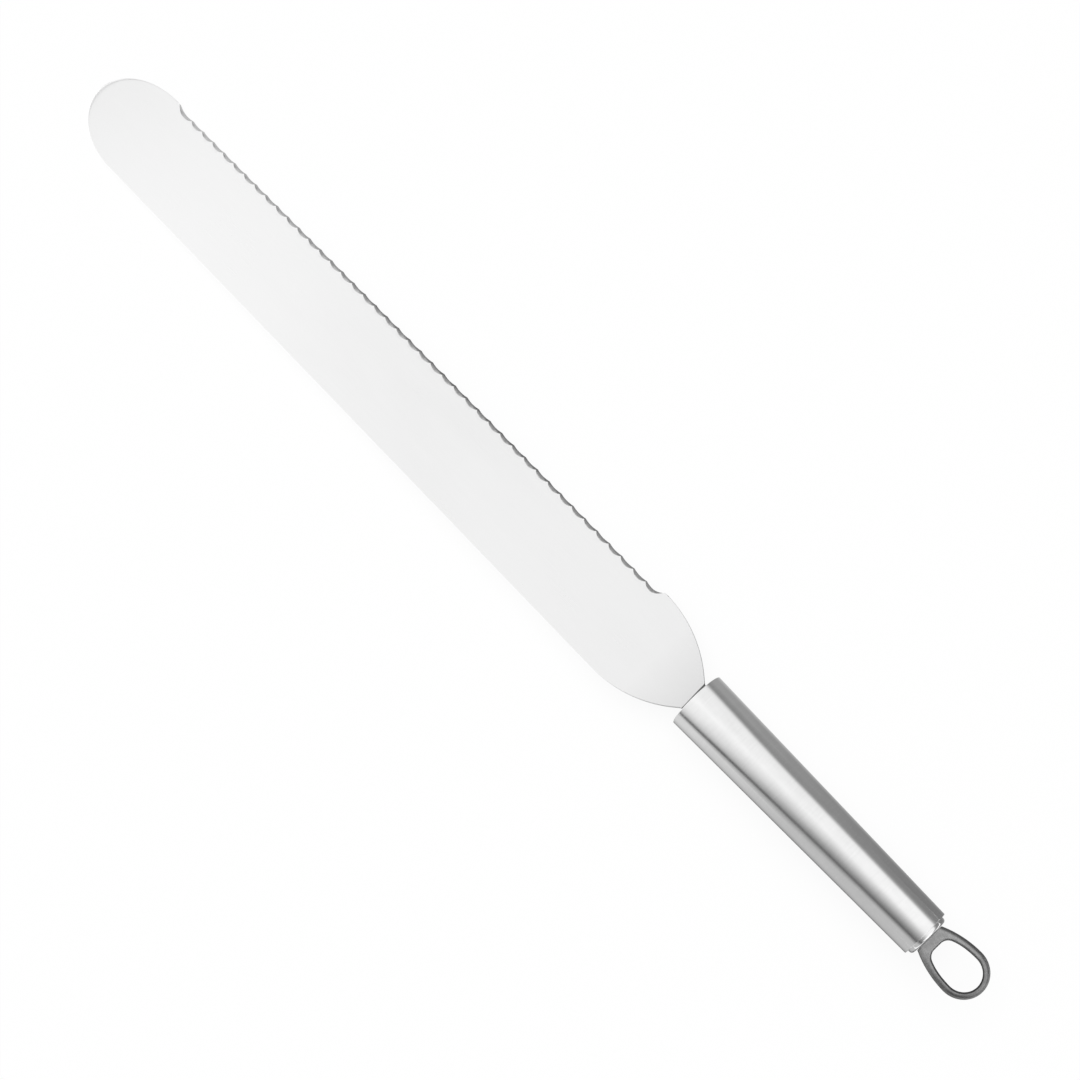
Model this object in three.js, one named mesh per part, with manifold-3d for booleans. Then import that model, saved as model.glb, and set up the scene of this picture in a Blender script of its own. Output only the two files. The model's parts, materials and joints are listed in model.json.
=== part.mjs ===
// A long cake knife: a flat blade with a rounded tip and one scalloped edge, in a tapered tube handle that
// ends in a hanging loop. Millimetres, +Z up.
// Every piece is drawn in the knife's own frame: x = 0 at the handle's front end, +X towards the hanging
// loop, +Y towards the scalloped edge, z = 0 in the middle of the blade's thickness. The last lines lay the
// knife down as it rests on a table, on its tip and on the front of the handle.
import * as THREE from 'three';
import * as BufferGeometryUtils from 'three/addons/utils/BufferGeometryUtils.js';
import Module from 'manifold-3d';

const wasm = await Module();
wasm.setup();

// Fits and cuts
const clearance = 0.3;          // gap between neighbouring pieces
const partingGap = 0.3;         // between the two halves of the core
const cutOverrun = 2;           // how far a cutting tool runs past the piece it cuts

// Blade
const bladeReach = 292;         // tip to the handle's front end
const bladeWidth = 32;
const bladeThickness = 1.2;
const tipLength = 24;           // the half ellipse at the tip
const heelRadius = 41;          // the shoulders curve in with this radius
const heelAngle = THREE.MathUtils.degToRad(40);
const neckRadius = 2.5;         // the hollow between shoulder and tang
const neckWidth = 9.6;
const tangWidth = 9.2;
const tangThickness = 1;        // coined a little thinner than the blade
const tangLength = 60;          // inside the handle

// Scalloped edge: ground hollows with ridges between them, from a corner behind the tip to the shoulder
const plainEdge = 1.8;          // straight edge between the tip's curve and the first corner
const firstHollow = 7.9;        // first corner to first ridge
const ridgePitch = 5.54;
const ridgeDrop = 0.72;         // ridges below the blank's edge at mid length
const endDrop = 0.45;           // this much lower again at both ends
const heelSlope = 0.33;         // and the line of ridges sinks by this from mid length to the shoulder
const scallopDepth = 0.35;      // hollows below the ridges
const ridgeGrind = 0.7;         // width of the ground face at a ridge
const hollowGrind = 1.2;        // and in the middle of a hollow

// Handle
const handleLength = 94;
const frontRadius = 9.7;
const tailRadius = 7.95;
const tubeWall = 0.8;
const tubeChamfer = 0.25;
const frontPlugLength = 4;
const frontPlugChamfer = 0.5;
const coreBack = 3;             // core behind the tang's end
const tangPinRadius = 1.5;
const tangPinInset = 0.6;       // pin ends below the core's surface
const frontPinInset = 18;       // behind the handle's front end
const rearPinInset = 14;        // in front of the tang's end

// Tail plug and hanging loop
const tailPlugProud = 1.5;      // the plug outside the tube
const tailPlugEdge = 0.9;       // radius of its outer edge
const tailPlugBack = 3.3;       // how far it runs on past the tongue's end
const loopThickness = 3.2;
const loopEdge = 0.7;           // bevel of the loop's long edges
const loopNeckWidth = 9.8;
const loopNeckWall = 3.2;       // between the plug and the eye
const loopSideWall = 2.35;
const loopEndWall = 2;
const eyeWidth = 10.9;
const eyeLength = 15.4;
const eyeFrontWidth = 8.6;      // across the rounded corners of the eye's narrow front end
const eyeCorner = 3;
const eyeSlope = THREE.MathUtils.degToRad(24);
const tongueWidth = 7.6;
const tongueThickness = 2.4;
const tongueLength = 8.5;
const loopPinRadius = 1;
const loopPinPlace = 2.4;       // behind the tongue's end
const loopPinInset = 0.5;       // pin ends below the plug's surface

// Facets
const tubeSides = 64;
const pinSides = 20;
const arcSteps = 10;
const cornerSteps = 4;
const tipSteps = 18;
const scallopSteps = 6;

const steel = { color: 0xe6e6e4, roughness: 0.38, metalness: 1.0 };
const tubeSteel = { color: 0xd2d2d0, roughness: 0.3, metalness: 1.0 };
const castMetal = { color: 0x9a9a98, roughness: 0.42, metalness: 1.0 };
const corePlastic = { color: 0x2d2d2f, roughness: 0.7, metalness: 0.0 };

const halfWidth = bladeWidth / 2;
const neckX = -clearance;
const tangPinPlaces = [frontPinInset, tangLength - rearPinInset];
const loopX = handleLength + tailPlugProud + clearance;
const tongueX = loopX - tongueLength;
const loopPinX = tongueX + loopPinPlace;

// Meshes and solids

function piece(name, geometry, finish) {
  geometry.computeVertexNormals();
  const mesh = new THREE.Mesh(geometry, new THREE.MeshStandardMaterial(finish));
  mesh.name = name;
  return mesh;
}

function toSolid(geometry) {
  const bare = geometry.clone();
  bare.deleteAttribute('normal');
  bare.deleteAttribute('uv');
  const merged = BufferGeometryUtils.mergeVertices(bare);
  return new wasm.Manifold(new wasm.Mesh({
    numProp: 3,
    vertProperties: new Float32Array(merged.attributes.position.array),
    triVerts: new Uint32Array(merged.index.array),
  }));
}

function toGeometry(solid) {
  const mesh = solid.getMesh();
  const geometry = new THREE.BufferGeometry();
  geometry.setAttribute('position', new THREE.BufferAttribute(mesh.vertProperties, 3));
  geometry.setIndex(new THREE.BufferAttribute(mesh.triVerts, 1));
  return geometry;
}

function cutBy(solid, tools) {
  return tools.reduce((rest, tool) => rest.subtract(toSolid(tool)), solid);
}

// A turned shape along +X from its profile, given as pairs of x and radius: back along the bore or the axis
// first, then forward along the outside
function turned(profile) {
  const points = profile.map(([x, radius]) => new THREE.Vector2(radius, x)).reverse();
  const halfSide = Math.PI / tubeSides;
  return new THREE.LatheGeometry(points, tubeSides, halfSide).rotateZ(-Math.PI / 2);
}

// A box along X, from one x to another, centred on the axis
function bar(from, to, width, height) {
  return new THREE.BoxGeometry(to - from, width, height).translate((from + to) / 2, 0, 0);
}

function uprightPin(x, radius, length) {
  const pin = new THREE.CylinderGeometry(radius, radius, length, pinSides);
  return pin.rotateX(Math.PI / 2).translate(x, 0, 0);
}

// Points of a circular arc round a centre, from one angle to another
function arc(centreX, centreY, radius, from, to, steps = arcSteps) {
  return Array.from({ length: steps + 1 }, (_, i) => {
    const angle = THREE.MathUtils.lerp(from, to, i / steps);
    return new THREE.Vector2(centreX + radius * Math.cos(angle), centreY + radius * Math.sin(angle));
  });
}

// A plate between two outlines with the same number of points
function loftedPlate(lower, upper, thickness) {
  const positions = [
    ...lower.flatMap((p) => [p.x, p.y, -thickness / 2]),
    ...upper.flatMap((p) => [p.x, p.y, thickness / 2]),
  ];
  const count = lower.length;
  const lowerFaces = THREE.ShapeUtils.triangulateShape(lower, []);
  const upperFaces = THREE.ShapeUtils.triangulateShape(upper, []);
  const index = [
    ...lowerFaces.flatMap(([a, b, c]) => [a, c, b]),
    ...upperFaces.flatMap(([a, b, c]) => [count + a, count + b, count + c]),
  ];
  for (let i = 0; i < count; i += 1) {
    const next = (i + 1) % count;
    index.push(i, next, count + next, i, count + next, count + i);
  }
  const geometry = new THREE.BufferGeometry();
  geometry.setAttribute('position', new THREE.Float32BufferAttribute(positions, 3));
  geometry.setIndex(index);
  return geometry;
}

// Blade

// One shoulder from the full width to the neck's end just before the handle, on the +Y side
function shoulder() {
  const neck = arc(neckX, neckWidth / 2 + neckRadius, neckRadius, -Math.PI / 2 - heelAngle, -Math.PI / 2);
  const heelDrop = heelRadius * (1 - Math.cos(heelAngle));
  const run = (halfWidth - heelDrop - neck[0].y) / Math.tan(heelAngle);
  const heelX = neck[0].x - run - heelRadius * Math.sin(heelAngle);
  const heel = arc(heelX, halfWidth - heelRadius, heelRadius, Math.PI / 2, Math.PI / 2 - heelAngle);
  return [...heel, ...neck];
}

// The ends of the scallops, from the first corner to the corner at the shoulder
function scallopEnds(shoulderX) {
  const corner = -bladeReach + tipLength + plainEdge;
  const ridgeCount = Math.floor((shoulderX - corner - firstHollow) / ridgePitch);
  const ridges = Array.from({ length: ridgeCount }, (_, i) => corner + firstHollow + i * ridgePitch);
  return [corner, ...ridges, shoulderX];
}

// Points along the scalloped edge from the tip end to the shoulder. With ground set they follow the line on
// the upper face where the ground face begins, otherwise the cutting edge on the lower face.
function scallopedEdge(shoulderX, ground) {
  const ends = scallopEnds(shoulderX);
  const last = ends.length - 2;
  const ridgeLine = (x) => {
    const share = THREE.MathUtils.mapLinear(x, ends[0], ends[last + 1], -1, 1);
    return halfWidth - ridgeDrop - heelSlope * share - endDrop * share * share;
  };
  const points = [];
  for (let i = 0; i <= last; i += 1) {
    const from = ends[i];
    const to = ends[i + 1];
    // the outer hollows are wider and run up to the blank's full width at their corner
    const middle = i === 0 ? to - ridgePitch / 2 : from + ridgePitch / 2;
    const bottom = ridgeLine(middle) - scallopDepth;
    const steps = i === last ? scallopSteps + 1 : scallopSteps;
    for (let k = 0; k < steps; k += 1) {
      const x = THREE.MathUtils.lerp(from, to, k / scallopSteps);
      const end = x < middle ? from : to;
      const atCorner = end === ends[0] || end === ends[last + 1];
      const top = atCorner ? halfWidth : ridgeLine(end);
      const rise = ((x - middle) / (end - middle)) ** 2;
      const grind = THREE.MathUtils.lerp(hollowGrind, atCorner ? 0 : ridgeGrind, rise);
      points.push(new THREE.Vector2(x, THREE.MathUtils.lerp(bottom, top, rise) - (ground ? grind : 0)));
    }
  }
  return points;
}

function bladeOutline(ground) {
  const nearShoulder = shoulder();
  const tip = Array.from({ length: tipSteps + 1 }, (_, i) => {
    const angle = THREE.MathUtils.lerp(Math.PI / 2, 3 * Math.PI / 2, i / tipSteps);
    const centre = -bladeReach + tipLength;
    return new THREE.Vector2(centre + tipLength * Math.cos(angle), halfWidth * Math.sin(angle));
  });
  const mirrored = nearShoulder.map((p) => new THREE.Vector2(p.x, -p.y));
  const edge = scallopedEdge(nearShoulder[0].x, ground).reverse();
  return [...tip, ...mirrored, ...nearShoulder.slice(1).reverse(), ...edge];
}

function blade() {
  const plate = toSolid(loftedPlate(bladeOutline(false), bladeOutline(true), bladeThickness));
  const tang = toSolid(bar(neckX - neckRadius / 2, tangLength, tangWidth, tangThickness));
  return piece('blade', toGeometry(cutBy(plate.add(tang), tangPinHoles())), steel);
}

function tangPinHoles() {
  return tangPinPlaces.map((x) => uprightPin(x, tangPinRadius + clearance, 2 * frontRadius));
}

// Handle tube and what it holds

function outerRadius(x) {
  return THREE.MathUtils.mapLinear(x, 0, handleLength, frontRadius, tailRadius);
}

// Radius of a piece that sits in the tube's bore at x
function boreFit(x) {
  return outerRadius(x) - tubeWall - clearance;
}

function handleTube() {
  const tail = handleLength;
  const boreAt = (x) => outerRadius(x) - tubeWall;
  return piece('handle_tube', turned([
    [0, boreAt(0)],
    [tail, boreAt(tail)],
    [tail, outerRadius(tail) - tubeChamfer],
    [tail - tubeChamfer, outerRadius(tail - tubeChamfer)],
    [tubeChamfer, outerRadius(tubeChamfer)],
    [0, outerRadius(0) - tubeChamfer],
    [0, boreAt(0)],
  ]), tubeSteel);
}

function tangSlot(from, to) {
  return bar(from, to, tangWidth + 2 * clearance, tangThickness + 2 * clearance);
}

function frontPlug() {
  const back = frontPlugLength;
  const disc = turned([
    [0, 0],
    [back, 0],
    [back, boreFit(back)],
    [frontPlugChamfer, boreFit(frontPlugChamfer)],
    [0, boreFit(0) - frontPlugChamfer],
    [0, 0],
  ]);
  const slotted = cutBy(toSolid(disc), [tangSlot(-cutOverrun, back + cutOverrun)]);
  return piece('front_plug', toGeometry(slotted), tubeSteel);
}

// One half of the core; side is 1 for the upper half and -1 for the lower
function coreHalf(name, side) {
  const front = frontPlugLength + clearance;
  const back = tangLength + coreBack;
  const body = turned([
    [front, 0],
    [back, 0],
    [back, boreFit(back)],
    [front, boreFit(front)],
    [front, 0],
  ]);
  const reach = frontRadius + cutOverrun;
  const otherHalf = bar(front - cutOverrun, back + cutOverrun, 2 * reach, reach)
    .translate(0, 0, side * (partingGap - reach) / 2);
  const slot = tangSlot(front - cutOverrun, tangLength + clearance);
  const solid = cutBy(toSolid(body), [otherHalf, slot, ...tangPinHoles()]);
  return piece(name, toGeometry(solid), corePlastic);
}

function tangPin(name, x) {
  const length = 2 * (boreFit(x) - tangPinInset);
  return piece(name, uprightPin(x, tangPinRadius, length), steel);
}

// Tail plug, hanging loop and the pin that locks them

function tailPlug() {
  const front = tongueX - tailPlugBack;
  const face = handleLength + tailPlugProud;
  const radius = boreFit(handleLength);
  const edge = arc(face - tailPlugEdge, radius - tailPlugEdge, tailPlugEdge, 0, Math.PI / 2, cornerSteps);
  const body = turned([
    [face, 0],
    ...edge.map((p) => [p.x, p.y]),
    [handleLength, radius],
    [front, boreFit(front)],
    [front, 0],
    [face, 0],
  ]);
  const slotWidth = tongueWidth + 2 * clearance;
  const slot = bar(front - cutOverrun, face + cutOverrun, slotWidth, tongueThickness + 2 * clearance);
  return piece('tail_plug', toGeometry(cutBy(toSolid(body), [slot, loopPinHole()])), tubeSteel);
}

function loopPinHole() {
  return uprightPin(loopPinX, loopPinRadius + clearance, 2 * frontRadius);
}

// The loop's outline: a neck, sides that swell to the full width, a round end. The neck starts too far
// forward, so that its front end can be cut square.
function loopOutline() {
  const radius = eyeWidth / 2 + loopSideWall;
  const endX = loopX + loopNeckWall + eyeLength + loopEndWall - radius;
  const swell = endX - loopX;
  const drop = radius - loopNeckWidth / 2;
  const sideRadius = (swell * swell + drop * drop) / (2 * drop);
  const sideAngle = Math.asin(swell / sideRadius);
  const upper = arc(endX, radius - sideRadius, sideRadius, Math.PI / 2, Math.PI / 2 + sideAngle);
  const end = arc(endX, 0, radius, -Math.PI / 2, Math.PI / 2, 2 * arcSteps);
  const lower = upper.map((p) => new THREE.Vector2(p.x, -p.y)).reverse();
  const front = loopX - cutOverrun;
  return [
    new THREE.Vector2(front, -loopNeckWidth / 2),
    ...lower.slice(0, -1),
    ...end,
    ...upper.slice(1),
    new THREE.Vector2(front, loopNeckWidth / 2),
  ];
}

// The eye: a round end, sides that draw in smoothly, a narrow front end with rounded corners
function eyeOutline() {
  const radius = eyeWidth / 2;
  const front = loopX + loopNeckWall;
  const endX = front + eyeLength - radius;
  const cornerX = front + eyeCorner;
  const cornerY = eyeFrontWidth / 2 - eyeCorner;
  const end = arc(endX, 0, radius, -Math.PI / 2, Math.PI / 2, 2 * arcSteps);
  const upper = arc(cornerX, cornerY, eyeCorner, Math.PI / 2 + eyeSlope, Math.PI, cornerSteps);
  // each side leaves the round end level and runs into the corner at the corner's slope
  const run = (radius - upper[0].y) / Math.tan(eyeSlope);
  const side = new THREE.QuadraticBezierCurve(
    new THREE.Vector2(endX, radius),
    new THREE.Vector2(upper[0].x + run, radius),
    upper[0],
  ).getPoints(arcSteps);
  const below = (points) => points.map((p) => new THREE.Vector2(p.x, -p.y)).reverse();
  return [...end, ...side.slice(1), ...upper.slice(1), ...below(upper), ...below(side).slice(1, -1)];
}

function hangingLoop() {
  const shape = new THREE.Shape(loopOutline());
  shape.holes.push(new THREE.Path(eyeOutline().reverse()));
  const geometry = new THREE.ExtrudeGeometry(shape, {
    depth: loopThickness - 2 * loopEdge,
    bevelEnabled: true,
    bevelThickness: loopEdge,
    bevelSize: loopEdge,
    bevelOffset: -loopEdge,
    bevelSegments: cornerSteps,
  }).translate(0, 0, loopEdge - loopThickness / 2);
  const frontCut = bar(tongueX, loopX, 2 * frontRadius, 2 * frontRadius);
  const tongue = toSolid(bar(tongueX, loopX + loopNeckWall / 2, tongueWidth, tongueThickness));
  const solid = cutBy(cutBy(toSolid(geometry), [frontCut]).add(tongue), [loopPinHole()]);
  return piece('hanging_loop', toGeometry(solid), castMetal);
}

function loopPin() {
  const length = 2 * (boreFit(loopPinX) - loopPinInset);
  return piece('loop_pin', uprightPin(loopPinX, loopPinRadius, length), steel);
}

// The knife, and how it lies

const knife = new THREE.Group();
knife.add(
  blade(),
  handleTube(),
  frontPlug(),
  coreHalf('core_upper', 1),
  coreHalf('core_lower', -1),
  tangPin('tang_pin_front', tangPinPlaces[0]),
  tangPin('tang_pin_rear', tangPinPlaces[1]),
  tailPlug(),
  hangingLoop(),
  loopPin(),
);

// The tip's lower edge and the handle's lowest ring, just behind its chamfer, touch the table
const ringDrop = outerRadius(tubeChamfer) * Math.cos(Math.PI / tubeSides);
knife.rotation.y = -Math.atan((ringDrop - bladeThickness / 2) / (bladeReach + tubeChamfer));
knife.updateMatrixWorld(true);
const box = new THREE.Box3().setFromObject(knife, true);
const middle = box.getCenter(new THREE.Vector3());
knife.position.set(-middle.x, -middle.y, -box.min.z);

const group = new THREE.Group();
group.add(knife);
group.updateMatrixWorld(true);

export default group;
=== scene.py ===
# A long cake knife lying on a white table: a flat blade with a rounded tip and a scalloped edge, in a tapered
# tube handle that ends in a cast hanging loop.
# Lengths are in metres. Each piece is drawn in the knife's own frame, with x = 0 at the handle's front end,
# +X towards the hanging loop, +Y towards the scalloped edge and z = 0 in the middle of the blade's thickness.
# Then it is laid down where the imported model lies.
import json
import math

import bmesh
import bpy
from mathutils import Matrix, Vector


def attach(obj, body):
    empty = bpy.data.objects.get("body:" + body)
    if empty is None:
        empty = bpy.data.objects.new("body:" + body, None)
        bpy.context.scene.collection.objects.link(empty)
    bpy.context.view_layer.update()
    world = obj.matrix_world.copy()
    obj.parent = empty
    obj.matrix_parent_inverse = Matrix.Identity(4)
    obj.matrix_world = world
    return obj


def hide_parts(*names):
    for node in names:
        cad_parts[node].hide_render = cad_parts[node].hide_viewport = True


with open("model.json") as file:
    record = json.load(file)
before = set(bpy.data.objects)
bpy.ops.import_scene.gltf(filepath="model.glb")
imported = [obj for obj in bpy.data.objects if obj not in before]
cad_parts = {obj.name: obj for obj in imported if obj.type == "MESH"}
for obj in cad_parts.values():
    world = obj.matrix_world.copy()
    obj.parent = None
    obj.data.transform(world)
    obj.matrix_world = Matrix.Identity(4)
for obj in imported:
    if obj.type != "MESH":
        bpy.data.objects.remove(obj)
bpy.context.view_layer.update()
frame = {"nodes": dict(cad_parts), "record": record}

mm = 0.001
fit_gap = 0.3 * mm              # between a piece and what it fits in

# Blade
tip_length = 24 * mm
plain_edge = 1.8 * mm           # between the tip's curve and the first scallop
heel_radius = 41 * mm
heel_angle = math.radians(40)
neck_radius = 2.5 * mm
neck_width = 9.6 * mm
neck_gap = 0.3 * mm             # the full thickness ends this far before the handle
tang_width = 9.2 * mm
tang_thickness = 1 * mm
tang_lead = 1.25 * mm           # how far the tang reaches into the neck
tang_pin_radius = 1.5 * mm
tang_pin_places = (18 * mm, 46 * mm)
spine_round = 0.12 * mm         # width of the polished rounding along the spine
tip_round = 2 * mm              # and at the tip's end
tip_round_focus = 3             # how quickly the tip's wide rounding fades along its curve
shoulder_round = 0.15 * mm      # how much wider than along the spine the rounding is on the shoulders
edge_drop = 0.3 * mm            # how far down the rounding reaches at most
flat_margin = 0.6 * mm          # a strip inside the rounding that keeps the flats flat

# Scallops
first_hollow = 7.9 * mm         # first corner to first ridge
ridge_pitch = 5.54 * mm
ridge_drop = 0.72 * mm          # ridges below the full width at mid length
end_drop = 0.45 * mm            # and lower by this at both ends
heel_slope = 0.33 * mm          # sinking by this from mid length to the shoulder
hollow_depth = 0.35 * mm
ridge_grind = 0.8 * mm          # width of the ground face at a ridge at mid length
ridge_grind_end = 0.4 * mm      # and at both ends
hollow_grind = 1.45 * mm        # and in the middle of a hollow at mid length
hollow_grind_end = 1.25 * mm    # and of one at both ends
grind_bulge = 0.5               # 0 for a flat ground face, more for one that is steeper at the cutting edge
plain_heel = 0.5 * mm           # between the last scallop and the shoulder's curve
scallop_margin = 3.2 * mm       # where the flats begin behind the scallops
not_ground = -1.0               # grind row of the points that stay where they are

# Handle and plugs
packed_tube_sides = 64
tail_radius = 7.95 * mm * math.cos(math.pi / packed_tube_sides)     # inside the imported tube's flats
tube_wall = 0.8 * mm
tube_round = 0.15 * mm
front_plug_round = 0.5 * mm
front_plug_ring = 0.5 * mm      # a ring in the front plug's face, within its slot
tail_plug_round = 0.9 * mm

# Hanging loop
loop_outer_round = 1.6 * mm
loop_inner_round = 0.7 * mm
loop_neck_width = 9.8 * mm
loop_neck_wall = 3.2 * mm
loop_end_wall = 2 * mm
loop_front_run = 8              # steps of the side's curve that it goes on straight, before it is cut
eye_width = 10.9 * mm
eye_front_width = 8.6 * mm
eye_corner = 3 * mm
eye_slope = math.radians(24)
tongue_width = 7.6 * mm
tongue_thickness = 2.4 * mm
loop_pin_radius = 1 * mm
loop_pin_behind = 2.4 * mm      # behind the tongue's end

# Fineness
tip_steps = 72
arc_steps = 24
corner_steps = 12
spine_steps = 30
hollow_steps = 12
round_steps = 5
tube_sides = 160
hole_sides = 32
cut_overrun = 1 * mm
seam_gap = 0.002 * mm           # points nearer than this are one point
sharp_angle = math.radians(30)


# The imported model's place and sizes

def knife_axes():
    face = next(m for m in frame["record"]["mounts"] if m["name"] == "blade_flat")
    up = Vector(face["axis"]).normalized()
    across = Vector((0, 1, 0))
    return across.cross(up), across, up


def turned_box(node):
    """A node's lowest and highest corner, measured along the knife's own axes."""
    points = [to_knife @ v.co for v in frame["nodes"][node].data.vertices]
    low = Vector([min(p[i] for p in points) for i in range(3)])
    high = Vector([max(p[i] for p in points) for i in range(3)])
    return low, high


to_knife = Matrix(knife_axes())
tube_low, tube_high = turned_box("handle_tube")
front_end = Vector((tube_low.x, 0, (tube_low.z + tube_high.z) / 2))
to_world = to_knife.transposed().to_4x4() @ Matrix.Translation(front_end)


def extent(node):
    """A node's lowest and highest corner in the knife's own frame."""
    low, high = turned_box(node)
    return low - front_end, high - front_end


blade_low, blade_high = extent("blade")
front_plug_back = extent("front_plug")[1].x
tail_plug_front = extent("tail_plug")[0].x
tail_plug_face = extent("tail_plug")[1].x
tongue_front = extent("hanging_loop")[0].x
loop_high = extent("hanging_loop")[1]

blade_reach = -blade_low.x
half_width = -blade_low.y
thickness = 2 * blade_high.z
tang_length = blade_high.x
handle_length = tube_high.x - tube_low.x
front_radius = tube_high.y
loop_thickness = 2 * loop_high.z


# Meshes

def mesh_object(name, vertices, faces):
    mesh = bpy.data.meshes.new(name)
    mesh.from_pydata(vertices, [], faces)
    piece = bpy.data.objects.new(name, mesh)
    bpy.context.scene.collection.objects.link(piece)
    return piece


def skinned(name, rings, ends="filled"):
    """Rings of points, skinned in order. The ends are filled, left open or joined to each other."""
    count = len(rings[0])
    faces = []
    for row in range(len(rings) if ends == "joined" else len(rings) - 1):
        near = row * count
        far = (row + 1) % len(rings) * count
        for i in range(count):
            after = (i + 1) % count
            faces.append((near + i, near + after, far + after, far + i))
    if ends == "filled":
        last = (len(rings) - 1) * count
        faces.append(tuple(range(count - 1, -1, -1)))
        faces.append(tuple(range(last, last + count)))
    return mesh_object(name, [point for ring in rings for point in ring], faces)


def round_angles(sides):
    return [2 * math.pi * i / sides for i in range(sides)]


def quarter_angles():
    return [math.pi / 2 * i / round_steps for i in range(round_steps + 1)]


def revolved(name, profile, ends="filled"):
    """A shape turned about the knife's axis from pairs of x and radius."""
    turns = round_angles(tube_sides)
    rings = [[(x, r * math.cos(a), r * math.sin(a)) for a in turns] for x, r in profile]
    return skinned(name, rings, ends)


def bar(start, end, width, height):
    """A box along X, centred on the axis."""
    corners = ((-0.5, -0.5), (0.5, -0.5), (0.5, 0.5), (-0.5, 0.5))
    return skinned("bar", [[(x, y * width, z * height) for y, z in corners] for x in (start, end)])


def upright_rod(x, radius):
    circle = [(x + radius * math.cos(a), radius * math.sin(a)) for a in round_angles(hole_sides)]
    reach = front_radius + cut_overrun
    return skinned("rod", [[(px, py, z) for px, py in circle] for z in (-reach, reach)])


def settle(piece):
    """Turns a piece with modifiers into a plain mesh."""
    graph = bpy.context.evaluated_depsgraph_get()
    mesh = bpy.data.meshes.new_from_object(piece.evaluated_get(graph))
    piece.modifiers.clear()
    piece.data = mesh


def mend(piece):
    """Closes the seams and turns the faces outwards."""
    mesh = bmesh.new()
    mesh.from_mesh(piece.data)
    bmesh.ops.remove_doubles(mesh, verts=mesh.verts, dist=seam_gap)
    bmesh.ops.recalc_face_normals(mesh, faces=mesh.faces)
    mesh.to_mesh(piece.data)
    mesh.free()


def combine(piece, tool, operation):
    """Joins a tool to a piece, or cuts it away, and removes the tool."""
    mend(piece)
    mend(tool)
    modifier = piece.modifiers.new(operation, "BOOLEAN")
    modifier.operation = operation
    modifier.solver = "EXACT"
    modifier.object = tool
    settle(piece)
    bpy.data.objects.remove(tool)


def clean(piece):
    """Mends a piece and shades its roundings smooth and its flats flat."""
    mend(piece)
    piece.data.shade_smooth()
    piece.data.set_sharp_from_angle(angle=sharp_angle)
    piece.modifiers.new("flat faces", "WEIGHTED_NORMAL").keep_sharp = True
    settle(piece)


def lay_down(piece, node, material):
    """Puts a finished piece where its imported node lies, with its material."""
    clean(piece)
    piece.data.transform(to_world)
    piece.data.materials.clear()
    piece.data.materials.append(material)
    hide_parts(node)
    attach(piece, "root")


# Outlines: points in the plane of the blade

def arc(centre_x, centre_y, radius, start, end, steps=arc_steps):
    turns = [start + (end - start) * i / steps for i in range(steps + 1)]
    return [Vector((centre_x + radius * math.cos(a), centre_y + radius * math.sin(a))) for a in turns]


def mirrored(points):
    return [Vector((p.x, -p.y)) for p in reversed(points)]


def straight(start, end, steps):
    return [start.lerp(end, i / steps) for i in range(steps + 1)]


def outward(points, i):
    """The outline's normal at a point, for an outline that runs with the metal on its left."""
    ahead = points[(i + 1) % len(points)] - points[i - 1]
    return Vector((ahead.y, -ahead.x)).normalized()


# Node trees. A Field is a value in a tree that is reckoned with like a number.

class Field:
    def __init__(self, tree, socket):
        self.tree = tree
        self.socket = socket

    def math(self, operation, *others):
        node = self.tree.nodes.new("ShaderNodeMath")
        node.operation = operation
        for given, value in zip(node.inputs, (self, *others)):
            if isinstance(value, Field):
                self.tree.links.new(value.socket, given)
            else:
                given.default_value = value
        return Field(self.tree, node.outputs[0])

    def __add__(self, other):
        return self.math("ADD", other)

    def __sub__(self, other):
        return self.math("SUBTRACT", other)

    def __mul__(self, other):
        return self.math("MULTIPLY", other)

    def __truediv__(self, other):
        return self.math("DIVIDE", other)

    def __neg__(self):
        return self * -1

    def absolute(self):
        return self.math("ABSOLUTE")

    def rest(self):
        """What this value leaves of 1."""
        return -self + 1

    def mix(self, other, share):
        """This value where share is 0, the other where it is 1."""
        return self + (-self + other) * share

    def clamp(self, low, high):
        return self.math("MAXIMUM", low).math("MINIMUM", high)

    def way(self, start, end):
        """The share of the way from start to end that this value has come: 0 before it and 1 past it."""
        return ((self - start) / (end - start)).clamp(0, 1)


def fields_of(tree, vector):
    """A vector's x, y and z."""
    parts = tree.nodes.new("ShaderNodeSeparateXYZ")
    tree.links.new(vector, parts.inputs[0])
    return [Field(tree, parts.outputs[axis]) for axis in "XYZ"]


# Scallops

scallop_inputs = (
    "Corner", "Heel", "First Ridge", "Pitch", "Last Hollow", "Half Width", "Ridge Drop", "Heel Slope",
    "End Drop", "Hollow Depth", "Ridge Grind", "Ridge End Grind", "Hollow Grind", "Hollow End Grind",
    "Thickness",
)


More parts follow.
